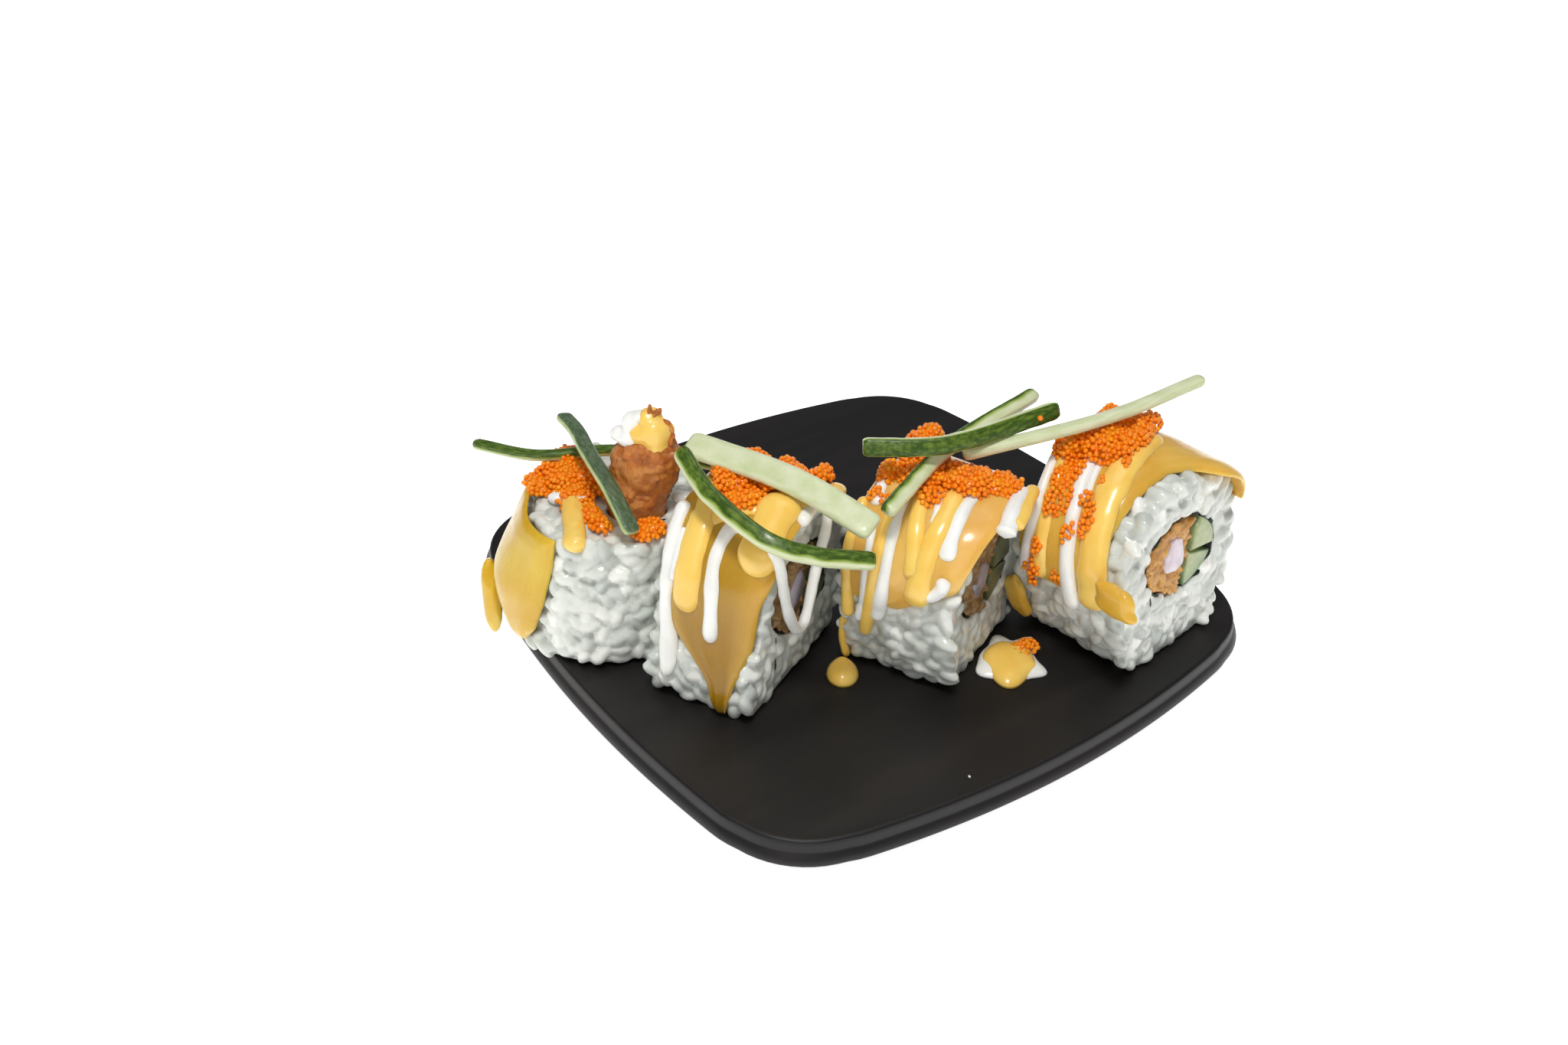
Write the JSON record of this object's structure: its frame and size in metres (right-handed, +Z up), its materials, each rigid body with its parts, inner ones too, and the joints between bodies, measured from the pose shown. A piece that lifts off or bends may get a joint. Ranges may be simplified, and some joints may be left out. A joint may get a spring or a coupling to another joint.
{
  "type": "uramaki roll",
  "caption": "Inside-out prawn rice roll cut in pieces on a square black board, draped with mango and drizzle, topped with roe and cucumber sticks.",
  "frame": {"origin": "centre of the flat underside of the board", "axes": "+Z up from the board's underside; +Y along the row, from the upright end piece towards the last lying piece; +X towards the side where the cut faces look"},
  "size_m": [0.184, 0.1909, 0.0775],
  "materials": {
    "board": "black moulded serving board, satin, with a faint wood grain",
    "rice": "moist cooked rice, slightly translucent",
    "nori": "damp dark green seaweed sheet",
    "prawn": "prawn in golden-brown fried batter, pale lavender flesh at the cut",
    "cucumber_flesh": "wet pale green cucumber flesh",
    "cucumber_skin": "dark green cucumber skin with a pale edge of flesh",
    "mango": "wet translucent mango slice, with pale and yellow drizzle on top",
    "roe": "glossy translucent orange fish roe",
    "sauce": "thick glossy yellow and white drizzle"
  },
  "bodies": {
    "root": {"board": "board", "rice_1": "rice", "rice_2": "rice", "rice_3": "rice", "rice_4": "rice", "nori_1": "nori", "nori_2": "nori", "nori_3": "nori", "nori_4": "nori", "mango_1": "mango", "mango_2": "mango", "mango_3": "mango", "mango_4": "mango", "mango_strip": "mango", "mango_end_1": "mango", "mango_end_2": "mango", "prawn_1": "prawn", "prawn_2": "prawn", "prawn_3": "prawn", "prawn_4": "prawn", "cucumber_2_low": "cucumber_flesh", "cucumber_2_high": "cucumber_flesh", "cucumber_3_low": "cucumber_flesh", "cucumber_3_high": "cucumber_flesh", "cucumber_4_low": "cucumber_flesh", "cucumber_4_high": "cucumber_flesh", "roe_1": "roe", "roe_2": "roe", "roe_3": "roe", "roe_4": "roe", "roe_patch": "roe", "stick_1": "cucumber_skin", "stick_2": "cucumber_skin", "stick_3": "cucumber_flesh", "stick_4": "cucumber_skin", "stick_5": "cucumber_skin", "stick_6": "cucumber_skin", "stick_7": "cucumber_flesh", "sauce_drop_1": "sauce", "sauce_drop_2": "sauce"}
  },
  "joints": []
}
